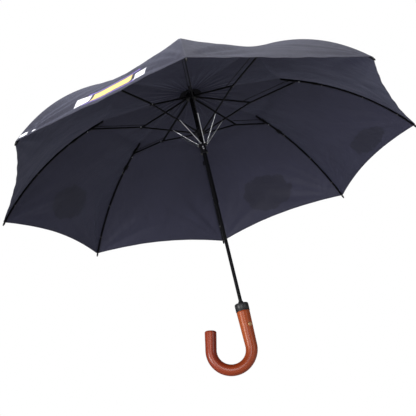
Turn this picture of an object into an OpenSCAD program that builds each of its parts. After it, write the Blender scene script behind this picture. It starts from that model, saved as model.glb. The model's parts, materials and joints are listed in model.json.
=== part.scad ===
// Two-section folding umbrella with a crook handle, shown open. Eight double-jointed spokes
// carry a cloth canopy, and a telescoping shaft carries the spokes.
// Millimetres, +Z up the shaft, origin on the shaft at the top face of the handle's collar.
// Heights named *_z are above that face. Spoke 1 points along +X and the crook along -X.

/* [Canopy] */
// Distance from the shaft to each cloth corner
rim_r = 500; // [490:1:510]
// Slope of a rib at its tip, in degrees below level
tip_slope = 56.2; // [54:0.1:58]
// How far the hem curves in towards the crown between two corners
scallop = 18; // [10:1:25]
// How far the cloth sags below a straight line between two ribs
gore_sag = 16; // [8:1:20]
// Thickness of the canopy solids
cloth = 1; // [0.8:0.1:1.2]

/* [Shaft] */
// Height of the crown above the handle's collar
crown_z = 548; // [540:1:556]
// Outside radius of the upper tube
upper_r = 5; // [4.8:0.1:5]
// Outside radius of the lower tube
lower_r = 4; // [3.8:0.1:4]
// Height of the upper tube's open lower end
step_z = 245; // [235:1:255]
// Wall thickness of both tubes
tube_wall = 0.7; // [0.5:0.1:0.7]

/* [Spokes] */
// Radius of the pivot circle on the crown and on the runner
hub_pivot_r = 9.5; // [9.5:0.1:9.8]
// Drop from the crown to the top ribs' pivots
crown_pivot_drop = 13; // [12:0.5:14]
// Drop from the crown to the stretchers' pivots on the runner
runner_pivot_drop = 113; // [110:1:116]
// Radius of the elbow, where a top rib meets its stretcher
elbow_r = 135.5; // [132:0.5:139]
// Radius of the knuckle, where a stretcher meets its outer rib
knuckle_r = 255.5; // [250:0.5:260]
// Drop from the crown to the knuckle
knuckle_drop = 36; // [33:1:39]
// Distance of the tie rod's pivots from the elbow and the knuckle
tie_offset = 16; // [14:0.5:18]
// Length of the outer rib inward of its knuckle
rib_heel = 35; // [30:1:38]
// Width of the ribs' channels
rib_w = 3; // [2.8:0.1:3]
// Depth of the ribs' and stretchers' channels
rib_h = 3.2; // [3:0.1:3.4]
// Sheet thickness of the channels
sheet = 0.6; // [0.5:0.1:0.7]

/* [Struts] */
// Distance from the runner's pivot to the strut's pivot, along the stretcher
strut_reach = 55; // [52:1:58]
// Drop from the crown to the struts' lower ends
lower_pivot_drop = 146; // [144:1:148]
// Diameter of the strut and tie rod wire
wire_d = 1.6; // [1.4:0.1:1.6]

/* [Handle] */
// Radius of the crook's bend, at its centre line
crook_r = 44; // [42:1:46]
// Depth from the collar's top face to the start of the bend
crook_drop = 93.5; // [90:0.5:97]
// Lean of the crook's free end towards the shaft, in degrees
crook_lean = 11; // [8:1:14]
// Straight length of the crook's free end
crook_tail = 42; // [38:1:45]
// Height of the collar
collar_h = 18; // [16:1:20]
// Outside radius of the collar
collar_r = 15.4; // [15.2:0.1:15.6]

/* [Hidden] */
spokes = 8;
spoke_ids = [for (i = [1 : spokes]) i];
gore_angle = 360 / spokes;

// Clearances: radial play of a rivet in its hole, of the runners on the tube, and of other faces
pin_play = 0.05;
runner_play = 0.25;
face_gap = 0.3;

// The elbow lies midway between the two pivot circles, so a top rib and the inner arm of a
// stretcher are equal and the runner slides truly along the shaft as the spokes fold.
elbow_drop = (crown_pivot_drop + runner_pivot_drop) / 2;
arm_run = elbow_r - hub_pivot_r;
arm_rise = elbow_drop - crown_pivot_drop;
arm_length = norm([arm_run, arm_rise]);
arm_slope = atan2(arm_rise, arm_run);
outer_arm_length = norm([knuckle_r - elbow_r, elbow_drop - knuckle_drop]);
outer_arm_slope = atan2(elbow_drop - knuckle_drop, knuckle_r - elbow_r);
top_pivot = [hub_pivot_r, 0, crown_z - crown_pivot_drop];
runner_pivot = [hub_pivot_r, 0, crown_z - runner_pivot_drop];
elbow = [elbow_r, 0, crown_z - elbow_drop];
knuckle = [knuckle_r, 0, crown_z - knuckle_drop];
lower_pivot_r = 10;
lower_pivot = [lower_pivot_r, 0, crown_z - lower_pivot_drop];
strut_pivot = runner_pivot + strut_reach * [cos(arm_slope), 0, sin(arm_slope)];
strut_length = norm(strut_pivot - lower_pivot);
strut_lean = atan2(strut_pivot.x - lower_pivot.x, strut_pivot.z - lower_pivot.z);

// Lateral places of the members in a spoke, counted from the plane of its ribs
stretcher_w = 2.4;
member_gap = 0.6;
stretcher_y = rib_w / 2 + member_gap + stretcher_w / 2;
tie_y = -(rib_w / 2 + face_gap + wire_d / 2);
strut_y = stretcher_y + stretcher_w / 2 + member_gap + wire_d / 2;

// Rivets and wire ends
rivet_r = 0.8;
rivet_head_r = 1.6;
rivet_head = 0.6;
head_gap = 0.2;
overlap = 0.1;
wire_pin_r = 0.7;
seat_r = 2;
strut_eye_r = 1.9;
strut_eye_w = 1.9;
foot_head_r = 1.2;
foot_head = 0.5;
tie_pin_end = 0.9;

// Top rib: a flat tongue in the crown's slot, and a channel from there past the elbow
tongue_w = 1.6;
tongue_length = 8;
rib_start = 5;
pivot_margin = 3;

// Outer rib: it hangs from the cloth, and its pivots sit this far below its centre line
rib_hang = 2.8;
arc_r = (rim_r + 0.5 - knuckle_r) / (sin(tip_slope) - sin(arm_slope));
arc_centre = knuckle - arc_r * [sin(arm_slope), 0, cos(arm_slope)];
rib_arc_r = arc_r + rib_hang;
tip_cap_r = 2.3;
tip_cap_length = 5;
tip_cap_reach = 1;
tip_cone = 3;
tip_ball_r = 1.2;
// The rib's channel ends this many degrees short of the tip slope
tip_trim = 0.5;
end_slope = tip_slope - tip_trim;

// Bracket that joins the outer rib's heel to its arc
bracket_half = 2;
bracket_lip = 0.1;

// Cloth: its lower face clears the ribs, and it ends at the crown around the tube
cloth_lift = rib_hang + rib_h / 2 + face_gap;
corner_slope = asin((rim_r - arc_centre.x) / (arc_r + cloth_lift + cloth));
crown_hole_r = upper_r + 0.6;
crown_cloth_z = crown_z - 0.5;
seam_share = 0.998;
joint_share = 0.003;
panel_columns = 2;
seam_strip = 2.2;
strip_share = 0.15;
sag_span = 3.4;
sag_power = 1.2;
arc_rows = 10;
centre_rows = 4;

// Shaft
bore_r = upper_r + runner_play;
upper_top_z = crown_z + 9;
lower_top_z = 325;
lower_bottom_z = -75;
upper_plug = 5;
lower_plug = 4;
notch_r = 12;
notch_half = 3;
crown_slot_w = 2;
crown_core_r = 7;
crown_pin_half = 1.5;
cap_r = 13;
cap_h = 3;
cap_drop = 7;
slot_play = 0.2;
runner_core_r = 7.2;
// Half the length of a bore that goes right through
through = 40;
barrel_r = 7.5;
runner_above = 8;
runner_below = 11;
lower_above = 3.5;
lower_below = 24;
flare_r = 9;
flare_h = 4;
lug_reach = 11.6;
lug_y = 3;
lug_w = 1.7;
lug_h = 4.4;

// Ferrule
ferrule_r = 13;
ferrule_base_z = crown_z + 2.2;
flange_h = 2;
ferrule_pin_r = 3.5;
ferrule_pin_h = 10;
ferrule_cone_h = 12;

// Main spring, inside the upper tube between the lower tube and the crown
main_turns = 18;
main_wire_r = 0.5;
main_coil_r = 3.2;

// Handle
stick_top_r = 14.8;
bend_start_r = 13.1;
bend_r = 12.3;
tail_end_r = 12.9;
end_round = 2.2;
tenon_r = 10.5;
tenon_h = 10;
neck_r = 6.2;
neck_top_r = 5;
neck_h = 6;
button_z = -50;
button_azimuth = -55;
button_r = 3.8;
button_reach = 15;
button_foot = 8.2;
button_well_r = 4.1;
button_edge = 0.6;
button_coil_r = 2.6;
button_wire_r = 0.3;
button_turns = 2;
spring_seat = 5;

steel_black = [0.10, 0.10, 0.11];
steel_bright = [0.75, 0.76, 0.78];
plastic_black = [0.13, 0.13, 0.14];
wood = [0.50, 0.19, 0.09];
navy = [0.13, 0.14, 0.19];

// ---------- shared shapes ----------

// Places a spoke's shapes, drawn along +X, at spoke i
module at_spoke(i) {
    rotate([0, 0, (i - 1) * gore_angle]) children();
}

// A cylinder along +Y between two lateral places
module cross_pin(r, from, to) {
    translate([0, from, 0]) rotate([-90, 0, 0]) cylinder(r = r, h = to - from, $fn = 32);
}

// A U-shaped channel along +X, open below, or above when open_up is 1
module channel(from, to, width, open_up = 0) {
    mirror([0, 0, open_up]) difference() {
        translate([from, -width / 2, -rib_h / 2]) cube([to - from, width, rib_h]);
        translate([from - 1, sheet - width / 2, -rib_h / 2 - 1])
            cube([to - from + 2, width - 2 * sheet, rib_h - sheet + 1]);
    }
}

// A wire along +X with round ends
module wire(length) {
    rotate([0, 90, 0]) cylinder(d = wire_d, h = length, $fn = 24);
    for (x = [0, length]) translate([x, 0, 0]) sphere(d = wire_d, $fn = 24);
}

// Rings of points joined into one closed solid, capped at both ends
function ring_faces(rings, sides) = concat(
    [[for (k = [sides - 1 : -1 : 0]) k]],
    [for (j = [0 : rings - 2], k = [0 : sides - 1])
        [j * sides + k, j * sides + (k + 1) % sides, (j + 1) * sides + (k + 1) % sides]],
    [for (j = [0 : rings - 2], k = [0 : sides - 1])
        [j * sides + k, (j + 1) * sides + (k + 1) % sides, (j + 1) * sides + k]],
    [[for (k = [0 : sides - 1]) (rings - 1) * sides + k]]);

// A coil spring standing on z = 0
module coil(coil_r, wire_r, height, turns) {
    steps = 12 * turns;
    sides = 5;
    lean = atan2(height, turns * 2 * PI * coil_r);
    points = [for (j = [0 : steps], k = [0 : sides - 1])
        let (a = 360 * turns * j / steps, b = -360 * k / sides,
             out = coil_r + wire_r * cos(b), up = wire_r * sin(b))
        [out * cos(a) + up * sin(lean) * sin(a), out * sin(a) - up * sin(lean) * cos(a),
         wire_r + (height - 2 * wire_r) * j / steps + up * cos(lean)]];
    polyhedron(points = points, faces = ring_faces(steps + 1, sides));
}

// ---------- spokes ----------

// Top rib: from the crown to the elbow, with the elbow's rivet
module top_rib(i) {
    tie_x = arm_length - tie_offset;
    color(steel_black) at_spoke(i) translate(top_pivot) rotate([0, arm_slope, 0]) {
        difference() {
            union() {
                channel(rib_start, arm_length + pivot_margin, rib_w);
                cross_pin(seat_r, -tongue_w / 2, tongue_w / 2);
                translate([0, -tongue_w / 2, -rib_h / 2]) cube([tongue_length, tongue_w, rib_h]);
                translate([tie_x, 0, 0]) cross_pin(rib_h / 2, -rib_w / 2, rib_w / 2);
            }
            cross_pin(wire_pin_r + pin_play, -rib_w, rib_w);
            translate([tie_x, 0, 0]) cross_pin(wire_pin_r + pin_play, -rib_w, rib_w);
        }
        translate([arm_length, 0, 0]) rivet();
    }
}

// A rivet through a rib and the stretcher beside it, with a head at each end
module rivet() {
    far = stretcher_y + stretcher_w / 2 + head_gap;
    cross_pin(rivet_r, -rib_w / 2 - overlap, far + overlap);
    cross_pin(rivet_head_r, -rib_w / 2 - rivet_head, -rib_w / 2);
    cross_pin(rivet_head_r, far, far + rivet_head);
}

// Stretcher: from the runner through the elbow to the knuckle, open side up
module stretcher(i) {
    color(steel_black) at_spoke(i) translate(runner_pivot + [0, stretcher_y, 0])
        rotate([0, -arm_slope, 0]) difference() {
            union() {
                channel(0, arm_length, stretcher_w, 1);
                stretcher_seat();
                translate([strut_reach, 0, 0]) stretcher_seat();
                translate([arm_length, 0, 0]) rotate([0, arm_slope - outer_arm_slope, 0]) {
                    stretcher_seat();
                    channel(0, outer_arm_length, stretcher_w, 1);
                    translate([outer_arm_length, 0, 0]) stretcher_seat();
                }
            }
            cross_pin(wire_pin_r + pin_play, -stretcher_w, stretcher_w);
            translate([strut_reach, 0, 0])
                cross_pin(wire_pin_r + pin_play, -stretcher_w, stretcher_w);
            translate([arm_length, 0, 0]) {
                cross_pin(rivet_r + pin_play, -stretcher_w, stretcher_w);
                rotate([0, arm_slope - outer_arm_slope, 0]) translate([outer_arm_length, 0, 0])
                    cross_pin(rivet_r + pin_play, -stretcher_w, stretcher_w);
            }
        }
}

// The solid disc that a stretcher's pin runs in
module stretcher_seat() {
    cross_pin(seat_r, -stretcher_w / 2, stretcher_w / 2);
}

// Outer rib: a straight heel, the knuckle bracket and a curved channel out to the tip
module outer_rib(i) {
    color(steel_black) at_spoke(i) {
        translate(knuckle) rotate([0, arm_slope, 0]) {
            difference() {
                union() {
                    translate([0, 0, rib_hang]) channel(-rib_heel, -bracket_half / 2, rib_w);
                    translate([0, 0, rib_hang]) cube([2 * bracket_half, rib_w, rib_h]
                        + bracket_lip * [0, 2, 2], center = true);
                    translate([-tie_offset, -rib_w / 2, 0])
                        cube([tie_offset, rib_w, rib_hang + rib_h / 2 - sheet]);
                    translate([-tie_offset, 0, 0]) cross_pin(seat_r, -rib_w / 2, rib_w / 2);
                    cross_pin(seat_r, -rib_w / 2, rib_w / 2);
                }
                translate([-tie_offset, 0, 0]) cross_pin(wire_pin_r + pin_play, -rib_w, rib_w);
            }
            rivet();
        }
        translate(arc_centre) rotate([90, 0, 0]) rotate([0, 0, 90 - end_slope])
            rotate_extrude(angle = end_slope - arm_slope, $fn = 360) translate([rib_arc_r, 0])
                difference() {
                    square([rib_h, rib_w], center = true);
                    translate([-sheet, 0]) square([rib_h, rib_w - 2 * sheet], center = true);
                }
        translate(arc_centre) rotate([0, end_slope, 0]) translate([0, 0, rib_arc_r])
            rotate([0, 90, 0]) translate([0, 0, tip_cap_reach - tip_cap_length]) {
                cylinder(r = tip_cap_r, h = tip_cap_length, $fn = 32);
                translate([0, 0, tip_cap_length])
                    cylinder(r1 = tip_cap_r, r2 = tip_ball_r, h = tip_cone, $fn = 32);
                translate([0, 0, tip_cap_length + tip_cone]) sphere(r = tip_ball_r, $fn = 32);
            }
    }
}

// Tie rod: bent wire that keeps the outer rib's slope equal to the top rib's
module tie_rod(i) {
    start = elbow + tie_offset * [-cos(arm_slope), 0, sin(arm_slope)];
    color(steel_black) at_spoke(i) translate(start) rotate([0, -outer_arm_slope, 0]) {
        translate([0, tie_y, 0]) wire(outer_arm_length);
        for (x = [0, outer_arm_length]) translate([x, 0, 0]) cross_pin(wire_pin_r, tie_y, tie_pin_end);
    }
}

// Strut: bright wire from the stretcher down to the lower runner, with an eye at its foot
module strut(i) {
    color(steel_bright) at_spoke(i) {
        translate(lower_pivot + [0, strut_y, 0]) {
            rotate([0, strut_lean - 90, 0]) {
                rotate([0, 90, 0]) cylinder(d = wire_d, h = strut_length, $fn = 24);
                translate([strut_length, 0, 0]) sphere(d = wire_d, $fn = 24);
            }
            cross_pin(strut_eye_r, -strut_eye_w / 2, strut_eye_w / 2);
            cross_pin(foot_head_r, 0, strut_eye_w / 2 + foot_head);
        }
        translate(strut_pivot) cross_pin(wire_pin_r, rib_w / 2 + face_gap, strut_y);
    }
}

// ---------- crown and runners ----------

// The slots of a pivot ring, one at each spoke, from the floor outwards
module ring_slots(y, width, floor_x) {
    for (i = spoke_ids) at_spoke(i) translate([floor_x, y - width / 2, -notch_half - 1])
        cube([notch_r, width, 2 * notch_half + 2]);
}

// The pins of a pivot ring, one across each slot
module ring_pins(from, to) {
    for (i = spoke_ids) at_spoke(i) translate([hub_pivot_r, 0, 0]) cross_pin(wire_pin_r, from, to);
}

// Crown notch: the slotted ring that the top ribs hinge in, under a flat cap
module crown_notch() {
    cap_bottom = crown_pivot_drop - cap_drop;
    color(plastic_black) translate([0, 0, top_pivot.z]) difference() {
        union() {
            difference() {
                translate([0, 0, -notch_half - 1])
                    cylinder(r = notch_r, h = 2 * notch_half + 1, $fn = 64);
                translate([0, 0, -1]) ring_slots(0, crown_slot_w, crown_core_r);
            }
            ring_pins(-crown_pin_half, crown_pin_half);
            translate([0, 0, notch_half - overlap])
                cylinder(r = crown_core_r, h = cap_bottom - notch_half + overlap, $fn = 48);
            translate([0, 0, cap_bottom]) cylinder(r = cap_r, h = cap_h, $fn = 64);
        }
        translate([0, 0, -through]) cylinder(r = upper_r, h = 2 * through, $fn = 48);
    }
}

// Runner: slides on the upper tube and carries the stretchers
module runner() {
    color(plastic_black) translate([0, 0, runner_pivot.z]) {
        difference() {
            union() {
                translate([0, 0, -runner_below])
                    cylinder(r = barrel_r, h = runner_below + runner_above, $fn = 64);
                translate([0, 0, -notch_half]) cylinder(r = notch_r, h = 2 * notch_half, $fn = 64);
            }
            translate([0, 0, -through]) cylinder(r = bore_r, h = 2 * through, $fn = 48);
            ring_slots(stretcher_y, stretcher_w + 2 * slot_play, runner_core_r);
        }
        ring_pins(stretcher_y - stretcher_w / 2 - 2 * slot_play,
            stretcher_y + stretcher_w / 2 + 2 * slot_play);
    }
}

// Lower runner: slides below the runner, with a lug beside the foot of each strut
module lower_runner() {
    color(plastic_black) translate([0, 0, lower_pivot.z]) difference() {
        union() {
            translate([0, 0, -lower_below])
                cylinder(r = barrel_r, h = lower_below + lower_above, $fn = 64);
            translate([0, 0, -lower_below]) cylinder(r = flare_r, h = flare_h, $fn = 64);
            for (i = spoke_ids) at_spoke(i)
                translate([upper_r + 1, lug_y, -lug_h / 2])
                    cube([lug_reach - upper_r - 1, lug_w, lug_h]);
        }
        translate([0, 0, -through]) cylinder(r = bore_r, h = 2 * through, $fn = 48);
    }
}

// Ferrule: the cap above the cloth, with a short pin on top
module ferrule() {
    color(plastic_black) translate([0, 0, ferrule_base_z]) difference() {
        union() {
            cylinder(r = ferrule_r, h = flange_h, $fn = 64);
            translate([0, 0, flange_h]) cylinder(r1 = ferrule_r - 1, r2 = ferrule_pin_r + 1,
                h = ferrule_cone_h - flange_h, $fn = 64);
            cylinder(r = ferrule_pin_r, h = ferrule_cone_h + ferrule_pin_h, $fn = 48);
        }
        translate([0, 0, -1]) cylinder(r = upper_r, h = upper_top_z - ferrule_base_z + 1, $fn = 48);
    }
}

// ---------- shaft ----------

// Upper tube: carries the crown, and the runners slide on it
module upper_tube() {
    color(steel_black) difference() {
        translate([0, 0, step_z]) cylinder(r = upper_r, h = upper_top_z - step_z, $fn = 48);
        translate([0, 0, step_z - 1])
            cylinder(r = upper_r - tube_wall, h = upper_top_z - upper_plug - step_z + 1, $fn = 48);
    }
}

// Lower tube: fixed in the handle, and slides inside the upper tube
module lower_tube() {
    color(steel_black) difference() {
        translate([0, 0, lower_bottom_z])
            cylinder(r = lower_r, h = lower_top_z - lower_bottom_z, $fn = 48);
        translate([0, 0, lower_bottom_z - 1])
            cylinder(r = lower_r - tube_wall, h = lower_top_z - lower_plug - lower_bottom_z + 1,
                $fn = 48);
    }
}

// Main spring: pushes the upper tube out to its full length
module main_spring() {
    color(steel_bright) translate([0, 0, lower_top_z + head_gap])
        coil(main_coil_r, main_wire_r, upper_top_z - upper_plug - lower_top_z - 2 * head_gap,
            main_turns);
}

// ---------- handle ----------

crook_centre = [-crook_r, 0, -crook_drop];
bend_steps = 30;
bend_angle = 180 + crook_lean;
tail_end_angle = -bend_angle;

// Stations along the crook below the collar: centre, direction angle in the XZ plane and radius
function blend(a, b, t) = a + (b - a) * (3 * t * t - 2 * t * t * t);
function on_bend(a) = crook_centre + crook_r * [cos(a), 0, sin(a)];
function bend_radius(t) = t < 0.25 ? blend(bend_start_r, bend_r, t / 0.25) : bend_r;
tail_start = on_bend(tail_end_angle);
tail_way = [sin(tail_end_angle), 0, -cos(tail_end_angle)];
stations = concat(
    [[[0, 0, -collar_h], 0, stick_top_r]],
    [for (t = [0 : 1 / bend_steps : 1.0001])
        [on_bend(-bend_angle * t), -bend_angle * t, bend_radius(t)]],
    [for (t = [0.25 : 0.25 : 1])
        [tail_start + tail_way * (crook_tail - end_round) * t, tail_end_angle,
         blend(bend_r, tail_end_r, t)]],
    [[tail_start + tail_way * (crook_tail - 0.3 * end_round), tail_end_angle,
        tail_end_r - 0.3 * end_round]],
    [[tail_start + tail_way * crook_tail, tail_end_angle, tail_end_r - end_round]]);

// Crook handle: turned and bent wood, bored for the lower tube and for the release button
module crook_handle() {
    sides = 28;
    points = [for (s = stations, k = [0 : sides - 1])
        let (a = s[1], b = 360 * k / sides)
        s[0] + s[2] * (cos(b) * [cos(a), 0, sin(a)] + sin(b) * [0, 1, 0])];
    color(wood) difference() {
        union() {
            polyhedron(points = points, faces = ring_faces(len(stations), sides));
            translate([0, 0, -collar_h - 0.5]) cylinder(r = tenon_r, h = tenon_h + 0.5, $fn = 48);
        }
        translate([0, 0, lower_bottom_z]) cylinder(r = lower_r, h = -lower_bottom_z, $fn = 48);
        at_button() cylinder(r = button_well_r, h = 20, $fn = 32);
    }
}

// Places shapes at the release button, with their +Z pointing out of the handle
module at_button() {
    rotate([0, 0, button_azimuth]) translate([spring_seat, 0, button_z]) rotate([0, 90, 0]) children();
}

// Handle collar: a cup over the top of the wood, with a small neck round the lower tube
module handle_collar() {
    color(plastic_black) difference() {
        union() {
            translate([0, 0, -collar_h]) cylinder(r = collar_r, h = collar_h - 1, $fn = 64);
            translate([0, 0, -1]) cylinder(r1 = collar_r, r2 = collar_r - 1, h = 1, $fn = 64);
            cylinder(r1 = neck_r, r2 = neck_top_r, h = neck_h, $fn = 48);
        }
        translate([0, 0, -collar_h - 1]) cylinder(r = tenon_r, h = tenon_h + 1, $fn = 48);
        translate([0, 0, -collar_h]) cylinder(r = lower_r, h = collar_h + 10, $fn = 48);
    }
}

// Release button: slides into the handle
module release_button() {
    color("goldenrod") at_button() {
        translate([0, 0, button_foot - spring_seat])
            cylinder(r = button_r, h = button_reach - button_foot - button_edge, $fn = 48);
        translate([0, 0, button_reach - button_edge - spring_seat])
            cylinder(r1 = button_r, r2 = button_r - button_edge, h = button_edge, $fn = 48);
    }
}

// Button spring: a short coil under the release button
module button_spring() {
    color(steel_bright) at_button()
        coil(button_coil_r, button_wire_r, button_foot - spring_seat, button_turns);
}

// ---------- cloth ----------

// The rib line's outward direction at a slope, and the seam's point and direction along it:
// u runs 0 to 1 from the crown to the heel, 1 to 2 along the heel and 2 to 3 along the arc
function outward(slope) = [sin(slope), 0, cos(slope)];
heel_end = knuckle + rib_heel * [-cos(arm_slope), 0, sin(arm_slope)]
    + cloth_lift * outward(arm_slope);
crown_edge = [crown_hole_r, 0, crown_cloth_z];
function slope_at(u, edge) = u < 2 ? arm_slope : arm_slope + (edge - arm_slope) * (u - 2);
function seam_at(u, edge) =
    u < 1 ? crown_edge + (heel_end - crown_edge) * u
    : u < 2 ? heel_end + (knuckle + cloth_lift * outward(arm_slope) - heel_end) * (u - 1)
    : arc_centre + (arc_r + cloth_lift) * outward(slope_at(u, edge));

// How far a place t, 0 at the seam and 1 midway to the next rib, is from the seam
function across(t) = 2 * t - t * t;
function hem_slope(t) = corner_slope - scallop * across(t) / arc_r * 180 / PI;
function sag_at(u) = gore_sag * sin(180 * pow(u / sag_span, sag_power));

// A point of the cloth's lower face, raised by some height, in the frame of its spoke. The place
// is [side, t], with side -1 or 1, and a strip along the seam lies flat over the rib
function cloth_point(u, place, raise) = let (
    side = place[0], t = place[1],
    edge = hem_slope(t), seam = seam_at(u, edge), out = outward(slope_at(u, edge)),
    strip = min(seam_strip, seam.x * strip_share),
    middle = seam.x / 2 * [1 + cos(gore_angle), sin(gore_angle)],
    flat = [seam.x, strip] + (middle - [seam.x, strip]) * t,
    turn = atan2(flat.y, flat.x),
    away = [out.x * cos(turn), side * out.x * sin(turn), out.z])
    [flat.x, side * flat.y, seam.z] + (raise - sag_at(u) * across(t)) * away;

// Faces of a grid of rings, each of n columns on the lower face and then n on the upper face in
// reverse. Both faces are cut along the same diagonals, so that the cloth keeps its thickness
function grid_faces(j, next, n) = [for (k = [0 : 2 * n - 1])
    let (a = j * 2 * n + k, b = j * 2 * n + (k + 1) % (2 * n),
         c = next * 2 * n + (k + 1) % (2 * n), d = next * 2 * n + k)
    each k < n ? [[a, b, c], [a, c, d]] : [[a, b, d], [b, c, d]]];

// Canopy panel: the cloth that rides on one outer rib, from its heel to the hem
module canopy_panel(i) {
    near = [for (k = [0 : panel_columns]) seam_share * k / panel_columns];
    places = concat(
        [for (k = [panel_columns : -1 : 0]) [-1, near[k]]],
        [for (t = near) [1, t]]);
    n = len(places);
    along = concat([1 + joint_share], [for (j = [0 : arc_rows]) 2 + j / arc_rows]);
    rows = len(along) - 1;
    points = [for (u = along) each concat(
        [for (p = places) cloth_point(u, p, 0)],
        [for (k = [n - 1 : -1 : 0]) cloth_point(u, places[k], cloth)])];
    last = rows * 2 * n;
    color(navy) at_spoke(i) polyhedron(points = points, faces = concat(
        [for (k = [0 : n - 2]) [k, 2 * n - 1 - k, 2 * n - 2 - k, k + 1]],
        [for (j = [0 : rows - 1]) each grid_faces(j, j + 1, n)],
        [for (k = [0 : n - 2]) [last + k, last + k + 1, last + 2 * n - 2 - k, last + 2 * n - 1 - k]]));
}

// Canopy centre: the cloth from the crown out to the heels of the outer ribs
module canopy_centre() {
    function turned(p, a) = [p.x * cos(a) - p.y * sin(a), p.x * sin(a) + p.y * cos(a), p.z];
    ways = concat(
        [for (k = [panel_columns - 1 : -1 : 0]) [-1, k / panel_columns]],
        [for (k = [0 : panel_columns]) [1, k / panel_columns]]);
    rings = spokes * len(ways);
    n = centre_rows + 1;
    function at(c, j, raise) = turned(
        cloth_point((1 - joint_share) * j / centre_rows, ways[c % len(ways)], raise),
        floor(c / len(ways)) * gore_angle);
    points = [for (c = [0 : rings - 1]) each concat(
        [for (j = [0 : centre_rows]) at(c, j, 0)],
        [for (j = [centre_rows : -1 : 0]) at(c, j, cloth)])];
    color(navy) polyhedron(points = points, faces = [for (c = [0 : rings - 1])
        each grid_faces(c, (c + 1) % rings, n)]);
}

// ---------- the assembly ----------

crook_handle();
handle_collar();
release_button();
button_spring();
lower_tube();
upper_tube();
main_spring();
crown_notch();
ferrule();
runner();
lower_runner();
for (i = spoke_ids) {
    top_rib(i);
    stretcher(i);
    outer_rib(i);
    tie_rod(i);
    strut(i);
    canopy_panel(i);
}
canopy_centre();
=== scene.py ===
"""Looks of a folding umbrella with a crook handle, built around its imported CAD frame. In metres."""

import json
import math

import bpy
import numpy as np
from mathutils import Matrix, Quaternion, Vector, noise


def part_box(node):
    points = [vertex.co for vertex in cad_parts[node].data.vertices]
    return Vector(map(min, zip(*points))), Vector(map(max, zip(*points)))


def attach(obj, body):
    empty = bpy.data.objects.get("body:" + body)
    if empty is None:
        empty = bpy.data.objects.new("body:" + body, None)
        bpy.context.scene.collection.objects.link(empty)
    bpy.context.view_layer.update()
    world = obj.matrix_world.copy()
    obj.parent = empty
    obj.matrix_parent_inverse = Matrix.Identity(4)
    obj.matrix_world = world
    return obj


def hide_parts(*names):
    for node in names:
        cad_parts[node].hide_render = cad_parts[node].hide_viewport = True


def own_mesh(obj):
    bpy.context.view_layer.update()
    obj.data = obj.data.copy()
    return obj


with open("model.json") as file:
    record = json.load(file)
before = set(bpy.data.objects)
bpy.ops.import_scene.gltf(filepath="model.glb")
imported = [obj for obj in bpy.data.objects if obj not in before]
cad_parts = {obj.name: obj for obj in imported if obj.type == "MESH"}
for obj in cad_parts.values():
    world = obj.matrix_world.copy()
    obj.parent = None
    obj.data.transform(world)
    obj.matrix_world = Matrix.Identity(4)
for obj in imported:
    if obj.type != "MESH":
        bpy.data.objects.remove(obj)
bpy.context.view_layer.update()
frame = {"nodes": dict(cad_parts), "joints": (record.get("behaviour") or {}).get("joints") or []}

SPOKES = 8
SPOKE_ANGLE = 2 * math.pi / SPOKES
SEED = 7

# ---------- places read from the frame ----------

HALF_CAD_CLOTH = 0.0005
STRUT_FOOT_DROP = 0.0035

pivots = {j["name"]: Vector(j["pos_m"]) for j in frame["joints"] if "pos_m" in j}
crown_pivot = pivots["fold"]
elbow = pivots["stretcher_1_hinge"]
knuckle = pivots["outer_rib_1_hinge"]
lower_pivot_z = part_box("lower_runner")[1].z - STRUT_FOOT_DROP
rim_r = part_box("canopy_panel_1")[1].x
crown_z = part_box("canopy_centre")[1].z - HALF_CAD_CLOTH
upper_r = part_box("upper_tube")[1].x
collar_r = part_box("handle_collar")[1].x
collar_h = -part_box("handle_collar")[0].z

# ---------- camera, light and floor ----------

CAMERA_PLACE = Vector((-0.0245, -1.6131, -0.4025))
CAMERA_AIM = Vector((-0.0221, 0.1058, 0.2816))
CAMERA_ROLL = math.radians(-13.38)
CAMERA_LENS = 64.65
FLOOR_BELOW_CAMERA = 0.06
FLOOR_HALF = 8
WORLD_LIGHT = 0.25
FLOOR_GLOW = 0.5


def make_camera():
    """The camera at the photograph's viewing angle: low, in front, looking up into the canopy."""
    data = bpy.data.cameras.new("camera")
    data.lens = CAMERA_LENS
    data.clip_start = 0.05
    camera = bpy.data.objects.new("camera", data)
    bpy.context.scene.collection.objects.link(camera)
    camera.rotation_mode = "QUATERNION"
    camera.location = CAMERA_PLACE
    look = (CAMERA_AIM - CAMERA_PLACE).to_track_quat("-Z", "Y")
    camera.rotation_quaternion = look @ Quaternion((0, 0, 1), CAMERA_ROLL)
    bpy.context.scene.camera = camera


def area_light(name, place, aim, size, watts):
    """A square soft box that faces a point."""
    data = bpy.data.lights.new(name, "AREA")
    data.size = size
    data.energy = watts
    light = bpy.data.objects.new(name, data)
    bpy.context.scene.collection.objects.link(light)
    light.location = place
    light.rotation_mode = "QUATERNION"
    light.rotation_quaternion = (Vector(aim) - Vector(place)).to_track_quat("-Z", "Y")


def make_surroundings():
    """A world that the camera sees as white, and that lights the object more softly than that."""
    world = bpy.data.worlds.new("studio")
    world.use_nodes = True
    background = world.node_tree.nodes["Background"]
    background.inputs["Color"].default_value = (1, 1, 1, 1)
    nodes, links = world.node_tree.nodes, world.node_tree.links
    seen = nodes.new("ShaderNodeMapRange")
    seen.inputs["To Min"].default_value = WORLD_LIGHT
    links.new(nodes.new("ShaderNodeLightPath").outputs["Is Camera Ray"], seen.inputs["Value"])
    links.new(seen.outputs["Result"], background.inputs["Strength"])
    bpy.context.scene.world = world
    bpy.context.scene.view_settings.view_transform = "Standard"


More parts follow.
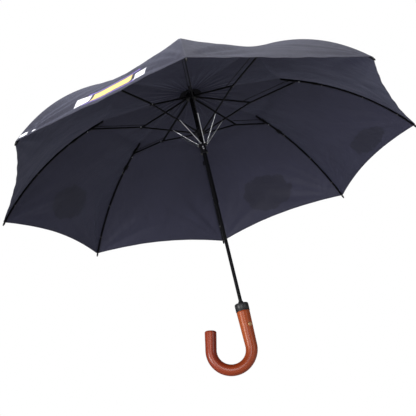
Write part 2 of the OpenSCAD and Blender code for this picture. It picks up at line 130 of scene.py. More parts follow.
def make_soft_boxes():
    """A large soft box above, and small ones in front and at the sides that light the canopy's inside."""
    area_light("soft_box_top", (0.5, -0.9, 2.6), (0, 0, 0), 2.2, 85)
    area_light("soft_box_front", (-0.3, -2.6, -0.1), (0, 0, 0.3), 0.8, 45)
    area_light("soft_box_left", (-2.0, -1.6, 0.0), (0, 0, 0.35), 0.7, 72)
    area_light("soft_box_right", (2.0, -1.6, 0.0), (0, 0, 0.2), 0.6, 12)


def make_floor():
    """A pale floor below the camera, with a faint glow that only the camera sees."""
    floor_z = CAMERA_PLACE.z - FLOOR_BELOW_CAMERA
    sides = ((-1, -1), (1, -1), (1, 1), (-1, 1))
    corners = [(x * FLOOR_HALF, y * FLOOR_HALF, floor_z) for x, y in sides]
    mesh = bpy.data.meshes.new("floor")
    mesh.from_pydata(corners, [], [(0, 1, 2, 3)])
    floor = bpy.data.objects.new("floor", mesh)
    bpy.context.scene.collection.objects.link(floor)
    sockets = {"Base Color": (0.8, 0.8, 0.8, 1), "Roughness": 0.9, "Emission Color": (1, 1, 1, 1)}
    material = principled("floor_paint", sockets)
    seen = add(material, "LightPath").outputs["Is Camera Ray"]
    shade(material, Emission_Strength=multiplied(material, seen, FLOOR_GLOW))
    mesh.materials.append(material)


# ---------- materials ----------


def principled(name, sockets):
    """A node material whose Principled sockets have these values."""
    material = bpy.data.materials.new(name)
    material.use_nodes = True
    shader = material.node_tree.nodes["Principled BSDF"]
    for socket, value in sockets.items():
        shader.inputs[socket].default_value = value
    return material


def add(material, kind, inputs=None, **settings):
    """A shader node. An input's value is a number, a colour, or another node's output to link."""
    node = material.node_tree.nodes.new("ShaderNode" + kind)
    for key, value in settings.items():
        setattr(node, key, value)
    for key, value in (inputs or {}).items():
        if isinstance(value, bpy.types.NodeSocket):
            material.node_tree.links.new(value, node.inputs[key])
        else:
            node.inputs[key].default_value = value
    return node


def shade(material, **links):
    """Links outputs to the Principled shader; an underscore in a name stands for a space."""
    shader = material.node_tree.nodes["Principled BSDF"]
    for socket, output in links.items():
        material.node_tree.links.new(output, shader.inputs[socket.replace("_", " ")])


def ramp(material, factor, stops):
    """A colour ramp through (place, colour) stops."""
    node = add(material, "ValToRGB", {"Fac": factor})
    elements = node.color_ramp.elements
    while len(elements) < len(stops):
        elements.new(0.5)
    for element, (place, colour) in zip(elements, stops):
        element.position = place
        element.color = (*colour, 1)
    return node.outputs["Color"]


def math_node(material, operation, a, b=0.0, c=0.0):
    return add(material, "Math", {0: a, 1: b, 2: c}, operation=operation).outputs[0]


def multiplied(material, a, b):
    return math_node(material, "MULTIPLY", a, b)


def ranged(material, value, low=0.0, high=1.0, start=0.0, end=1.0):
    """The value mapped from low..high to start..end, and kept within it."""
    return add(material, "MapRange", {"Value": value, 1: low, 2: high, 3: start, 4: end}).outputs[0]


def noise_node(material, vector, scale, detail=3.0, roughness=0.55):
    inputs = {"Vector": vector, "Scale": scale, "Detail": detail, "Roughness": roughness}
    return add(material, "TexNoise", inputs).outputs["Fac"]


def mixed(material, factor, a, b, blend="MIX"):
    """Colour a with colour b over it, by factor. Each is an output or three numbers."""
    node = add(material, "Mix", {"Factor": factor}, data_type="RGBA", blend_type=blend)
    for socket, value in ((node.inputs[6], a), (node.inputs[7], b)):
        if isinstance(value, bpy.types.NodeSocket):
            material.node_tree.links.new(value, socket)
        else:
            socket.default_value = (*value, 1)
    return node.outputs[2]


def times(colour, factor):
    return tuple(min(1, factor * c) for c in colour)


def bump(material, height, distance, strength, normal=None):
    """A bumped normal, on top of another one if there is one."""
    inputs = {"Height": height, "Distance": distance, "Strength": strength}
    if normal is not None:
        inputs["Normal"] = normal
    return add(material, "Bump", inputs).outputs["Normal"]


def object_place(material):
    return add(material, "TexCoord").outputs["Object"]


def grain_place(material):
    """Metres along and across the grain of the wood or the cloth."""
    return add(material, "UVMap", uv_map="grain").outputs["UV"]


def stretched(material, vector, scale):
    return add(material, "Mapping", {"Vector": vector, "Scale": scale}).outputs["Vector"]


def band(material, value, low, high, soft):
    """1 where value is between low and high, with soft edges."""
    rise = ranged(material, value, low=low - soft, high=low + soft)
    fall = ranged(material, value, low=high - soft, high=high + soft)
    return math_node(material, "SUBTRACT", rise, fall)


THREAD_PITCH = 0.0007
STITCH_PITCH = 0.0032
STITCH_LINE = (0.0064, 0.0069)
HEM_WIDTH = 0.008
SEAM_WIDTH = 0.004
BEFORE_EDGE = -0.01


def print_shade_mask(material, place):
    """1 on the patches of painted shade that stand for print seen through the cloth against the light, with a
    ragged edge.
    """
    depth = add(material, "Attribute", attribute_name="show_through").outputs["Fac"]
    ragged = math_node(material, "MULTIPLY_ADD", noise_node(material, place, 34, 3), 0.7, depth)
    return ranged(material, ragged, low=0.66, high=0.72)


def bar_mask(material, place, across, to_hem, bar):
    """1 on a printed bar, apart from small worn spots."""
    low, high, start, end, _ = bar
    along = band(material, across, start, end, 0.0012)
    edge = band(material, to_hem, low, high, 0.0008)
    worn = ranged(material, noise_node(material, place, 260, 2), low=0.2, high=0.3)
    return multiplied(material, multiplied(material, along, edge), worn)


def stitch_mask(material, across, to_hem):
    """1 on the row of stitches along the hem."""
    wave = math_node(material, "SINE", multiplied(material, across, 2 * math.pi / STITCH_PITCH))
    dashes = math_node(material, "GREATER_THAN", wave, -0.3)
    return multiplied(material, band(material, to_hem, *STITCH_LINE, 0.0002), dashes)


def cloth_normal(material, grain, slubs, hem, stitches):
    """The cloth's small relief: crumples, slubs, weave, and the thicker hem with its stitches."""
    ways = add(material, "SeparateXYZ", {"Vector": grain}).outputs[:2]
    turns = 2 * math.pi / THREAD_PITCH
    threads = [math_node(material, "SINE", multiplied(material, way, turns)) for way in ways]
    crumple = noise_node(material, stretched(material, grain, (14, 30, 1)), 1, 4, 0.5)
    normal = bump(material, crumple, 0.005, 0.6)
    normal = bump(material, slubs, 0.0002, 0.5, normal)
    normal = bump(material, multiplied(material, *threads), 0.00006, 0.6, normal)
    return bump(material, math_node(material, "ADD", hem, stitches), 0.0004, 0.7, normal)


def cloth_material(name, colour, gloss, bars=()):
    """Woven polyester: mottled and slubbed, with a stitched hem, seams, patches of painted shade where print
    shows through against the light, and printed bars.
    """
    sockets = {"Roughness": 0.62, "Specular IOR Level": gloss, "Sheen Weight": 0.1, "Sheen Roughness": 0.45,
               "Sheen Tint": (0.68, 0.72, 1.0, 1)}
    material = principled(name, sockets)
    place = object_place(material)
    grain = grain_place(material)
    cloth = add(material, "Attribute", attribute_name="cloth").outputs["Vector"]
    across, to_hem, to_rib = add(material, "SeparateXYZ", {"Vector": cloth}).outputs
    slubs = noise_node(material, stretched(material, grain, (60, 900, 1)), 1, 2)
    hem = band(material, to_hem, BEFORE_EDGE, HEM_WIDTH, 0.0005)
    seam = band(material, to_rib, BEFORE_EDGE, SEAM_WIDTH, 0.0004)
    stitches = stitch_mask(material, across, to_hem)

    base = mixed(material, noise_node(material, place, 7, 4), times(colour, 0.75), times(colour, 1.25))
    base = mixed(material, multiplied(material, slubs, 0.18), base, times(colour, 1.5))
    # painted shade: darker patches for print seen through the cloth against the light
    base = mixed(material, multiplied(material, print_shade_mask(material, place), 0.55), base, times(colour, 0.3))
    for bar in bars:
        base = mixed(material, bar_mask(material, place, across, to_hem, bar), base, bar[-1])
    for mask, share, shift in ((hem, 0.25, 0.6), (seam, 0.3, 0.55), (stitches, 0.6, 2.2)):
        base = mixed(material, multiplied(material, mask, share), base, times(colour, shift))
    shade(material, Base_Color=base, Normal=cloth_normal(material, grain, slubs, hem, stitches))
    return material


def wood_material():
    """Stained and lacquered wood, with its grain running along the crook and redder towards its tail."""
    sockets = {"Specular IOR Level": 0.05, "Coat Weight": 0.42, "Coat Roughness": 0.32, "Coat IOR": 1.45}
    material = principled("stained_wood", sockets)
    grain = grain_place(material)
    streaks = noise_node(material, stretched(material, grain, (7, 150, 1)), 1, 4, 0.5)
    bands = noise_node(material, stretched(material, grain, (4, 34, 1)), 1, 3, 0.5)
    pores = noise_node(material, stretched(material, grain, (50, 900, 1)), 1, 2, 0.5)
    tone = math_node(material, "ADD", multiplied(material, streaks, 0.35), multiplied(material, bands, 0.65))
    stain = ramp(
        material,
        tone,
        [(0.30, (0.085, 0.010, 0.003)), (0.45, (0.145, 0.022, 0.005)),
         (0.55, (0.205, 0.041, 0.009)), (0.70, (0.265, 0.066, 0.015))],
    )
    pore_mask = ranged(material, pores, low=0.60, high=0.72)
    stain = mixed(material, multiplied(material, pore_mask, 0.12), stain, (0.06, 0.008, 0.003))
    place = object_place(material)
    towards_tail = add(material, "SeparateXYZ", {"Vector": place}).outputs[0]
    redder = ranged(material, towards_tail, low=-0.02, high=-0.09)
    stain = mixed(material, multiplied(material, redder, 0.75), stain, (0.72, 0.42, 0.60), "MULTIPLY")
    waves = noise_node(material, place, 60, 1)
    shade(material, Base_Color=stain, Roughness=ranged(material, streaks, start=0.28, end=0.42),
          Normal=bump(material, waves, 0.0003, 0.2))
    return material


def hard_material(name, colour, rough, metallic=0.0, scale=90, specular=0.35):
    """Painted or plated metal and moulded plastic: small changes of colour, gloss and surface."""
    material = principled(name, {"Metallic": metallic, "Specular IOR Level": specular})
    place = object_place(material)
    spots = noise_node(material, place, scale, 4)
    wear = noise_node(material, place, scale * 6, 3)
    base = mixed(material, spots, times(colour, 0.8), times(colour, 1.25))
    scuffs = ranged(material, wear, low=0.66, high=0.78)
    scuffed = tuple(min(1, 2 * c + 0.006) for c in colour)
    base = mixed(material, multiplied(material, scuffs, 0.4), base, scuffed)
    shade(material, Base_Color=base, Roughness=ranged(material, wear, start=rough * 0.75, end=rough * 1.3),
          Normal=bump(material, wear, 0.0001, 0.25))
    return material


def fibre_material(name, sockets, scale, detail, dark, light, strength):
    """Soft black fibres: thread, or a small patch of cloth."""
    material = principled(name, {"Roughness": 0.85, **sockets})
    fibres = noise_node(material, object_place(material), scale, detail)
    shade(material, Base_Color=mixed(material, fibres, dark, light),
          Normal=bump(material, fibres, 0.0003, strength))
    return material


INSIDE = (0.0132, 0.0132, 0.0262)
OUTSIDE = (0.0150, 0.0145, 0.0230)
YELLOW_INK = (0.62, 0.46, 0.16)
PURPLE_INK = (0.16, 0.11, 0.36)
WHITE_INK = (0.62, 0.62, 0.66)
# each bar's start and end above the hem, its start and end across the gore from its middle, and its ink
PRINTED_BARS = (
    (0.027, 0.066, -0.053, 0.032, YELLOW_INK),
    (0.018, 0.023, -0.068, 0.046, PURPLE_INK),
    (0.070, 0.076, -0.068, 0.046, PURPLE_INK),
    (0.025, 0.058, -0.086, -0.061, WHITE_INK),
    (0.032, 0.068, 0.038, 0.068, WHITE_INK),
    (0.006, 0.018, 0.155, 0.171, WHITE_INK),
    (0.008, 0.015, 0.140, 0.146, WHITE_INK),
)

canopy_inside = cloth_material("canopy_inside", INSIDE, 0.2)
canopy_outside = cloth_material("canopy_outside", OUTSIDE, 0.12)
canopy_printed = cloth_material("canopy_printed", OUTSIDE, 0.12, PRINTED_BARS)
wood = wood_material()
collar_plastic = hard_material("collar_plastic", (0.007, 0.007, 0.008), 0.4, scale=140, specular=0.25)
hub_plastic = hard_material("hub_plastic", (0.003, 0.003, 0.004), 0.36, scale=160, specular=0.2)
black_enamel = hard_material("black_enamel", (0.002, 0.002, 0.0025), 0.4, specular=0.12)
tube_enamel = hard_material("tube_enamel", (0.002, 0.002, 0.0025), 0.2, scale=60, specular=0.2)
nickel = hard_material("nickel", (0.42, 0.43, 0.45), 0.34, metallic=1.0, scale=220)
brass = hard_material("brass", (0.34, 0.20, 0.10), 0.42, metallic=1.0, scale=300)
thread = fibre_material("cotton_thread", {"Sheen Weight": 0.4}, 1800, 2, (0.006, 0.006, 0.008),
                        (0.03, 0.03, 0.036), 0.6)
patch_cloth = fibre_material("patch_cloth", {"Specular IOR Level": 0.1}, 1400, 3, (0.002, 0.002, 0.003),
                             (0.007, 0.007, 0.009), 0.5)

# ---------- making pieces ----------


def piece(name, mesh, body, material=None, replaced=()):
    """Links a mesh as an object that rides on a body, in place of the CAD nodes in replaced."""
    obj = bpy.data.objects.new(name, mesh)
    bpy.context.scene.collection.objects.link(obj)
    if material is not None:
        mesh.materials.append(material)
    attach(obj, body)
    if replaced:
        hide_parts(*replaced)
    return obj


def modified(obj, kind, **settings):
    """Adds a modifier and applies it."""
    modifier = obj.modifiers.new(kind.lower(), kind)
    for key, value in settings.items():
        setattr(modifier, key, value)
    bpy.context.view_layer.objects.active = obj
    with bpy.context.temp_override(object=obj, active_object=obj, selected_objects=[obj]):
        bpy.ops.object.modifier_apply(modifier=modifier.name)


def ring_mesh(name, rings, closed_rings=False):
    """Quads between rings of points. The last ring joins the first, or else each end has a flat cap."""
    rings = np.asarray(rings, float)
    count, sides = rings.shape[:2]
    faces = []
    for j in range(count if closed_rings else count - 1):
        n = (j + 1) % count
        for k in range(sides):
            m = (k + 1) % sides
            faces.append((j * sides + k, j * sides + m, n * sides + m, n * sides + k))
    if not closed_rings:
        faces.append(tuple(range(sides - 1, -1, -1)))
        faces.append(tuple((count - 1) * sides + k for k in range(sides)))
    mesh = bpy.data.meshes.new(name)
    mesh.from_pydata(rings.reshape(-1, 3).tolist(), [], faces)
    mesh.validate()
    mesh.shade_smooth()
    return mesh


def turns_round(sides):
    return [2 * math.pi * k / sides for k in range(sides)]


def lathe(name, profile, sides=64):
    """A closed solid turned about +Z from (radius, height) points, listed from bottom to top."""
    rings = [[(r * math.cos(a), r * math.sin(a), z) for a in turns_round(sides)] for r, z in profile]
    return ring_mesh(name, rings)


def placed(mesh, matrix):
    mesh.transform(matrix)
    return mesh


def joined(name, meshes):
    """One mesh from several."""
    points, faces = [], []
    for part in meshes:
        start = len(points)
        points += [tuple(v.co) for v in part.vertices]
        faces += [tuple(start + i for i in face.vertices) for face in part.polygons]
    mesh = bpy.data.meshes.new(name)
    mesh.from_pydata(points, [], faces)
    mesh.shade_smooth()
    return mesh


def dome(name, radius, height):
    """A rivet head on z = 0."""
    rise = [(radius * math.cos(a), height * math.sin(a)) for a in np.linspace(0.2, 1.45, 6)]
    return lathe(name, [(radius, 0.0)] + rise, 20)


def sheet_faces(high, wide):
    """Faces of a thin closed sheet whose inner points, in high rows of wide, come before its outer points.
    Each face has its kind: 0 inside, 1 outside and 2 edge."""
    count = high * wide
    faces, kinds = [], []
    for j in range(high - 1):
        for k in range(wide - 1):
            a, d = j * wide + k, (j + 1) * wide + k
            faces += [(a, a + 1, d + 1, d), (count + a, count + d, count + d + 1, count + a + 1)]
            kinds += [0, 1]
    border = list(range(wide)) + [j * wide + wide - 1 for j in range(1, high)]
    border += [(high - 1) * wide + k for k in range(wide - 2, -1, -1)]
    border += [j * wide for j in range(high - 2, 0, -1)]
    for a, b in zip(border, border[1:] + border[:1]):
        faces.append((b, a, count + a, count + b))
        kinds.append(2)
    return faces, kinds


def spoke_turn(i):
    """The turn about +Z that takes spoke 1, along +X, to spoke i."""
    return Matrix.Rotation((i - 1) * SPOKE_ANGLE, 4, "Z")


def spokes():
    return range(1, SPOKES + 1)


# ---------- canopy ----------

TIP_SLOPE = math.radians(56.2)
SCALLOP = 0.018
GORE_SAG = 0.016
RIB_HEEL = 0.035
CLOTH_LIFT = 0.0047
CLOTH_CLEAR = 0.0002
CLOTH_THICK = 0.0004
HEM_THICK = 0.0009
HEM_ROOM = 0.001
TUBE_GAP = 0.0006
SEAM_STRIP = 0.0022
# folds that run out of each corner: their angles and widths in degrees from the rib, and their sizes
CORNER_FOLDS = (18, 33, 50, 68)
FOLD_WANDER = (-5, 5)
FOLD_WIDTH = (5, 8)
FOLD_SIZE = (0.0012, 0.0034)
SEAM_RIPPLE = 0.0007
SEAM_RIPPLE_PITCH = 0.027
HEM_RIPPLE = 0.0004
HEM_RIPPLE_PITCH = 0.046
GATHERS = 48
GATHER_HEIGHT = 0.0010
SLACK = 0.0028
SLACK_SCALE = 9
PRINTED_GORE = 5
# patches of painted shade, for print seen through the cloth against the light: gore, then its patch's middle
# across the gore and above the hem, and how far it spreads each way
PRINT_SHADE_PATCHES = (
    (3, 0.01, 0.085, 0.055, 0.05),
    (1, 0.0, 0.075, 0.07, 0.055),
    (0, -0.045, 0.04, 0.06, 0.03),
)
CENTRE_ROWS = 16
HEEL_ROWS = 5
ARC_ROWS = 48
HALF_STEPS = 20
HALF_COLUMNS = HALF_STEPS + 1
GORE_COLUMNS = 2 * HALF_COLUMNS
QUARTER = 1 + HALF_STEPS // 2

arm_slope = math.atan2(crown_pivot.z - elbow.z, elbow.x - crown_pivot.x)
arc_r = (rim_r + HALF_CAD_CLOTH - knuckle.x) / (math.sin(TIP_SLOPE) - math.sin(arm_slope))
arc_centre = np.array([knuckle.x - arc_r * math.sin(arm_slope), knuckle.z - arc_r * math.cos(arm_slope)])
corner_slope = math.asin((rim_r - arc_centre[0]) / (arc_r + CLOTH_LIFT + HEM_ROOM))


def outward(slope):
    """The cloth's outward direction over a rib, as radius and height."""
    return np.stack([np.sin(slope), np.cos(slope)], -1)


def along_rib(u, edge):
    """Radius, height and slope of the cloth over a rib: u is 0 at the crown, 1 at the outer rib's heel,
    2 at its knuckle and 3 at the hem, where the slope is edge."""
    lifted = np.array([knuckle.x, knuckle.z]) + CLOTH_LIFT * outward(arm_slope)
    heel = lifted + RIB_HEEL * np.array([-math.cos(arm_slope), math.sin(arm_slope)])
    crown = np.array([upper_r + TUBE_GAP, crown_z - HALF_CAD_CLOTH])
    slope = np.where(u < 2, arm_slope, arm_slope + (edge - arm_slope) * (u - 2))
    centre = crown + (heel - crown) * u[..., None]
    straight = heel + (lifted - heel) * (u[..., None] - 1)
    arc = arc_centre + (arc_r + CLOTH_LIFT) * outward(slope)
    line = np.where(u[..., None] < 1, centre, np.where(u[..., None] < 2, straight, arc))
    return line, slope


def smooth_step(value, low, high):
    x = np.clip((value - low) / (high - low), 0, 1)
    return x * x * (3 - 2 * x)


def canopy_grid():
    """Points of the whole canopy's lower face, rows from crown to hem and columns round it, with the facts
    that the shapes and materials use."""
    u = np.concatenate([
        np.linspace(0, 1, CENTRE_ROWS, endpoint=False),
        np.linspace(1, 2, HEEL_ROWS, endpoint=False),
        np.linspace(2, 3, ARC_ROWS + 1),
    ])
    column = np.arange(SPOKES * GORE_COLUMNS)
    gore = column // GORE_COLUMNS
    step = column % GORE_COLUMNS
    right = step > HALF_COLUMNS
    from_rib = np.where(right, GORE_COLUMNS - step, step)
    t = np.clip((from_rib - 1) / HALF_STEPS, 0, 1)
    in_strip = from_rib == 0
    side = np.where(right, -1.0, 1.0)
    spoke = (gore + right) % SPOKES

    uu, tt = np.meshgrid(u, t, indexing="ij")
    across = 2 * tt - tt * tt
    edge = corner_slope - SCALLOP * across / arc_r
    line, slope = along_rib(uu, edge)
    sag = GORE_SAG * np.sin(math.pi * (uu / 3.4) ** 1.2) * across
    strip = np.minimum(SEAM_STRIP, line[..., 0] * 0.15)
    middle_x = line[..., 0] / 2 * (1 + math.cos(SPOKE_ANGLE))
    middle_y = line[..., 0] / 2 * math.sin(SPOKE_ANGLE)
    x = line[..., 0] + (middle_x - line[..., 0]) * tt
    y = np.where(in_strip, 0, strip + (middle_y - strip) * tt)
    turn = np.arctan2(y, x)
    out = np.stack([np.sin(slope) * np.cos(turn), side * np.sin(slope) * np.sin(turn), np.cos(slope)], -1)
    flat = np.stack([x, side * y, line[..., 1]], -1)
    local = flat + out * (CLOTH_CLEAR - sag)[..., None]

    to_hem = np.zeros_like(uu)
    to_hem[:-1] = np.cumsum(np.linalg.norm(np.diff(local, axis=0), axis=-1)[::-1], axis=0)[::-1]
    facts = {
        "u": uu, "rib_distance": y, "hem_distance": to_hem, "crown_distance": to_hem[0] - to_hem,
        "middle_offset": side * (y - middle_y), "across": across, "spoke": spoke, "side": side, "gore": gore,
    }
    local += out * puckers(facts, local)[..., None]
    turn = spoke * SPOKE_ANGLE
    points = np.stack([
        local[..., 0] * np.cos(turn) - local[..., 1] * np.sin(turn),
        local[..., 0] * np.sin(turn) + local[..., 1] * np.cos(turn),
        local[..., 2],
    ], -1)
    points += soft_wander(points, facts)[..., None] * grid_normals(points)
    return points, grid_normals(points), facts


def puckers(facts, local):
    """Small folds, as heights: from each corner, along the seams and hem, and gathers at the crown."""
    rng = np.random.default_rng(SEED)
    rib, hem = facts["rib_distance"], facts["hem_distance"]
    clear = smooth_step(rib, 0.003, 0.014)
    distance = np.hypot(rib, hem)
    angle = np.degrees(np.arctan2(rib, hem))
    near = smooth_step(distance, 0.01, 0.04) * (1 - smooth_step(distance, 0.10, 0.21))
    calm = 0.3 + 0.7 * smooth_step(hem, 0.0, 0.035)
    height = np.zeros_like(rib)
    for spoke in range(SPOKES):
        for side in (-1, 1):
            here = (facts["spoke"] == spoke) & (facts["side"] == side)
            for fold_angle in CORNER_FOLDS:
                centre = fold_angle + rng.uniform(*FOLD_WANDER)
                width = rng.uniform(*FOLD_WIDTH)
                size = rng.uniform(*FOLD_SIZE) * rng.choice([-1, 1])
                ridge = np.exp(-(((angle - centre) / width) ** 2))
                height += np.where(here, size * ridge * near * clear * calm, 0)
            phase = rng.uniform(0, 6)
            ripple = np.sin(2 * math.pi * facts["crown_distance"] / SEAM_RIPPLE_PITCH + phase)
            fade = np.exp(-rib / 0.018) * clear * smooth_step(facts["u"], 1.0, 1.2)
            height += np.where(here, SEAM_RIPPLE * ripple * fade, 0)
    lift = np.sin(2 * math.pi * facts["middle_offset"] / HEM_RIPPLE_PITCH)
    height += HEM_RIPPLE * lift * np.exp(-hem / 0.02) * smooth_step(rib, 0.02, 0.05)
    radius = np.hypot(local[..., 0], local[..., 1])
    turn = np.arctan2(np.abs(local[..., 1]), local[..., 0])
    gathers = np.cos(GATHERS * turn + 1.9 * np.sin(5 * turn + 1.1) + 9 * radius)
    gathers = gathers * smooth_step(radius, 0.012, 0.03) * (1 - smooth_step(radius, 0.05, 0.15))
    return height + GATHER_HEIGHT * gathers


def soft_wander(points, facts):
    """Slow uneven slack between the ribs."""
    rows, columns = points.shape[:2]
    slack = np.zeros((rows, columns))
    for j in range(rows):
        for k in range(columns):
            place = Vector(points[j, k]) * SLACK_SCALE
            slack[j, k] = noise.noise(place) + 0.5 * noise.noise(place * 2.3)
    weight = facts["across"] * smooth_step(facts["crown_distance"], 0.03, 0.12)
    return SLACK * slack * weight


def grid_normals(points):
    """Outward unit normals of the grid, which closes on itself across its columns."""
    down = np.gradient(points, axis=0)
    round_it = np.roll(points, -1, axis=1) - np.roll(points, 1, axis=1)
    normal = np.cross(down, round_it)
    normal /= np.maximum(np.linalg.norm(normal, axis=-1, keepdims=True), 1e-12)
    return normal * np.sign(normal[..., 2:3] + 1e-9)


points, normals, facts = canopy_grid()


def show_through():
    """How deep inside a patch of painted shade each place is: on three gores it stands for print seen faintly
    through the cloth against the light.
    """
    gore_of = np.broadcast_to(facts["gore"], facts["u"].shape)
    shade_depth = np.zeros_like(facts["u"])
    for gore, middle, from_hem, wide, tall in PRINT_SHADE_PATCHES:
        x = (facts["middle_offset"] - middle) / wide
        y = (facts["hem_distance"] - from_hem) / tall
        patch = np.clip(1.3 - np.hypot(x, y), 0, 1)
        shade_depth = np.maximum(shade_depth, np.where(gore_of == gore, patch, 0))
    return shade_depth


print_shade_depth = show_through()


def canopy_mesh(name, index, side, outside):
    """A patch of the canopy as a thin closed sheet with an inside and an outside."""
    inner, normal = points[index], normals[index]
    thick = np.where(facts["hem_distance"][index] < HEM_WIDTH, HEM_THICK, CLOTH_THICK)
    outer = inner + normal * thick[..., None]
    high, wide = inner.shape[:2]
    count = high * wide
    faces, kinds = sheet_faces(high, wide)
    mesh = bpy.data.meshes.new(name)
    mesh.from_pydata(np.concatenate([inner.reshape(-1, 3), outer.reshape(-1, 3)]).tolist(), [], faces)
    mesh.materials.append(canopy_inside)
    mesh.materials.append(outside)
    mesh.shade_smooth()
    mesh.polygons.foreach_set("material_index", [min(kind, 1) for kind in kinds])

    offset = facts["middle_offset"][index]
    if side:  # on one side of a rib, so the column on the rib counts as that side's
        offset = side * np.abs(offset)
    grain = np.stack([facts["crown_distance"][index], offset], -1).reshape(-1, 2)
    cloth = np.stack([offset, facts["hem_distance"][index], facts["rib_distance"][index]], -1)
    vertex = np.zeros(len(mesh.loops), int)
    mesh.loops.foreach_get("vertex_index", vertex)
    uv = mesh.uv_layers.new(name="grain")
    uv.data.foreach_set("uv", grain[vertex % count].ravel())
    attribute = mesh.attributes.new("cloth", "FLOAT_VECTOR", "POINT")
    attribute.data.foreach_set("vector", np.concatenate([cloth, cloth]).ravel().astype(np.float32))
    # painted shade: how deep each point lies in a patch that stands for print seen through the cloth
    shade_depth = print_shade_depth[index].ravel().astype(np.float32)
    attribute = mesh.attributes.new("show_through", "FLOAT", "POINT")
    attribute.data.foreach_set("value", np.concatenate([shade_depth, shade_depth]))

    flat_normals = normal.reshape(-1, 3)
    sign = {0: -1, 1: 1, 2: 0}
    corner_normals = []
    for face, kind in zip(mesh.polygons, kinds):
        corner_normals += [tuple(sign[kind] * flat_normals[v % count]) for v in face.vertices]
    mesh.normals_split_custom_set(corner_normals)
    return mesh


def canopy_piece(name, body, rows, columns, outside, side=0, replaced=()):
    """A patch of the canopy that rides on a body and is stretched over others. Side is 1 or -1 for a patch
    on one side of a rib."""
    index = np.ix_(rows, np.asarray(columns) % points.shape[1])
    cloth = piece(name, canopy_mesh(name, index, side, outside), body, replaced=replaced)
    return cloth


# each slice at the crown's draw-in as the umbrella closes: a way along (outward, up), and the share that
# stands third
RIB_SLICE = (0.9885, -0.1515, 0.292)
GORE_SLICE = (0.9663, -0.2573, 0.352)


def build_outer_cloth():
    """Sixteen half gores. Each rides on its outer rib."""
    rows = list(range(CENTRE_ROWS, points.shape[0]))
    for i in spokes():
        first = (i - 1) * GORE_COLUMNS
        rib = f"outer_rib_{i}"
        for side, word in ((1, "left"), (-1, "right")):
            columns = [first + side * k for k in range(HALF_COLUMNS + 1)][::side]
            gore = i - 1 if side > 0 else (i - 2) % SPOKES
            outside = canopy_printed if gore == PRINTED_GORE else canopy_outside
            replaced = [f"canopy_panel_{i}"] if side > 0 else []
            cloth = canopy_piece(f"canopy_{word}_{i}", rib, rows, columns, outside, side, replaced)
            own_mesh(cloth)


def build_centre_cloth():
    """Sixteen slices from the crown to the outer ribs' heels, each riding on the upper shaft."""
    rows = list(range(CENTRE_ROWS + 1))
    for i in spokes():
        first = (i - 1) * GORE_COLUMNS
        for word, start, end, (axis_out, axis_up, keep), turn in (
            ("rib", -QUARTER, QUARTER, RIB_SLICE, 0.0),
            ("gore", QUARTER, GORE_COLUMNS - QUARTER, GORE_SLICE, 0.5),
        ):
            columns = list(range(first + start, first + end + 1))
            replaced = ["canopy_centre"] if (i, word) == (1, "rib") else []
            cloth = canopy_piece(f"canopy_top_{word}_{i}", "upper_shaft", rows, columns, canopy_outside,
                                 replaced=replaced)
            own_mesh(cloth)


# ---------- handle ----------

CROOK_R = 0.044
CROOK_DROP = 0.0935
CROOK_TURN = math.radians(191)
CROOK_TAIL = 0.042
WOOD_TOP_R = 0.0148
BEND_START_R = 0.0131
BEND_R = 0.0123
TAIL_END_R = 0.0129
END_ROUND = 0.0035
END_ROUND_DEPTH = 0.0032
TAPER_SHARE = 0.25
CROOK_SIDES = 56
BODY_STEPS = 110
END_STEPS = 7
WELL_R = 0.0041
WELL_FLOOR = 0.005
WELL_TOP = 0.02
RING_WALL = 0.0006
RING_LOW = 0.0125
RING_TOP = 0.0144
BUTTON_Z = -0.050
BUTTON_SEAT = 0.005
BUTTON_FOOT = 0.0082
BUTTON_TURN = math.radians(-55)


def eased(a, b, x):
    x = min(max(x, 0), 1)
    return a + (b - a) * x * x * (3 - 2 * x)


def crook_stations():
    """Centre, direction, radius and length so far, down the stick, round the crook and along its tail."""
    centre = Vector((-CROOK_R, 0, -CROOK_DROP))
    straight = CROOK_DROP - collar_h
    bend = CROOK_R * CROOK_TURN
    total = straight + bend + CROOK_TAIL
    lengths = [(total - END_ROUND) * k / BODY_STEPS for k in range(BODY_STEPS + 1)]
    end_turns = [math.pi / 2 * k / END_STEPS for k in range(1, END_STEPS + 1)]
    lengths += [total - END_ROUND * (1 - math.sin(turn)) for turn in end_turns]
    stations = []
    for length in lengths:
        if length < straight:
            place, angle = Vector((0, 0, -collar_h - length)), 0.0
            radius = WOOD_TOP_R + (BEND_START_R - WOOD_TOP_R) * length / straight
        elif length < straight + bend:
            angle = (length - straight) / CROOK_R
            place = centre + CROOK_R * Vector((math.cos(angle), 0, -math.sin(angle)))
            radius = eased(BEND_START_R, BEND_R, angle / CROOK_TURN / TAPER_SHARE)
        else:
            angle = CROOK_TURN
            way = Vector((-math.sin(angle), 0, -math.cos(angle)))
            beyond = length - straight - bend
            place = centre + CROOK_R * Vector((math.cos(angle), 0, -math.sin(angle))) + way * beyond
            radius = eased(BEND_R, TAIL_END_R, beyond / CROOK_TAIL)
        left = (total - length) / END_ROUND
        if left < 1:
            radius -= END_ROUND_DEPTH * (1 - math.sqrt(max(0, 1 - (1 - left) ** 2)))
        stations.append((place, angle, radius, length))
    return stations


def crook_mesh():
    """The bent stick, with its grain's places."""
    stations = crook_stations()
    rings = []
    for place, angle, radius, _ in stations:
        across = Vector((math.cos(angle), 0, -math.sin(angle)))
        rings.append([tuple(place + radius * (math.cos(b) * across + math.sin(b) * Vector((0, 1, 0))))
                      for b in turns_round(CROOK_SIDES)])
    mesh = ring_mesh("crook", rings[::-1])
    uv = mesh.uv_layers.new(name="grain")
    lengths = [length for *_, length in stations][::-1]
    for face in mesh.polygons:
        turns = [mesh.loops[k].vertex_index % CROOK_SIDES for k in face.loop_indices]
        wrap = max(turns) - min(turns) > CROOK_SIDES / 2
        for k, turn in zip(face.loop_indices, turns):
            if wrap and turn == 0:
                turn = CROOK_SIDES
            length = lengths[mesh.loops[k].vertex_index // CROOK_SIDES]
            uv.data[k].uv = (length, turn / CROOK_SIDES * 2 * math.pi * BEND_R)
    return mesh


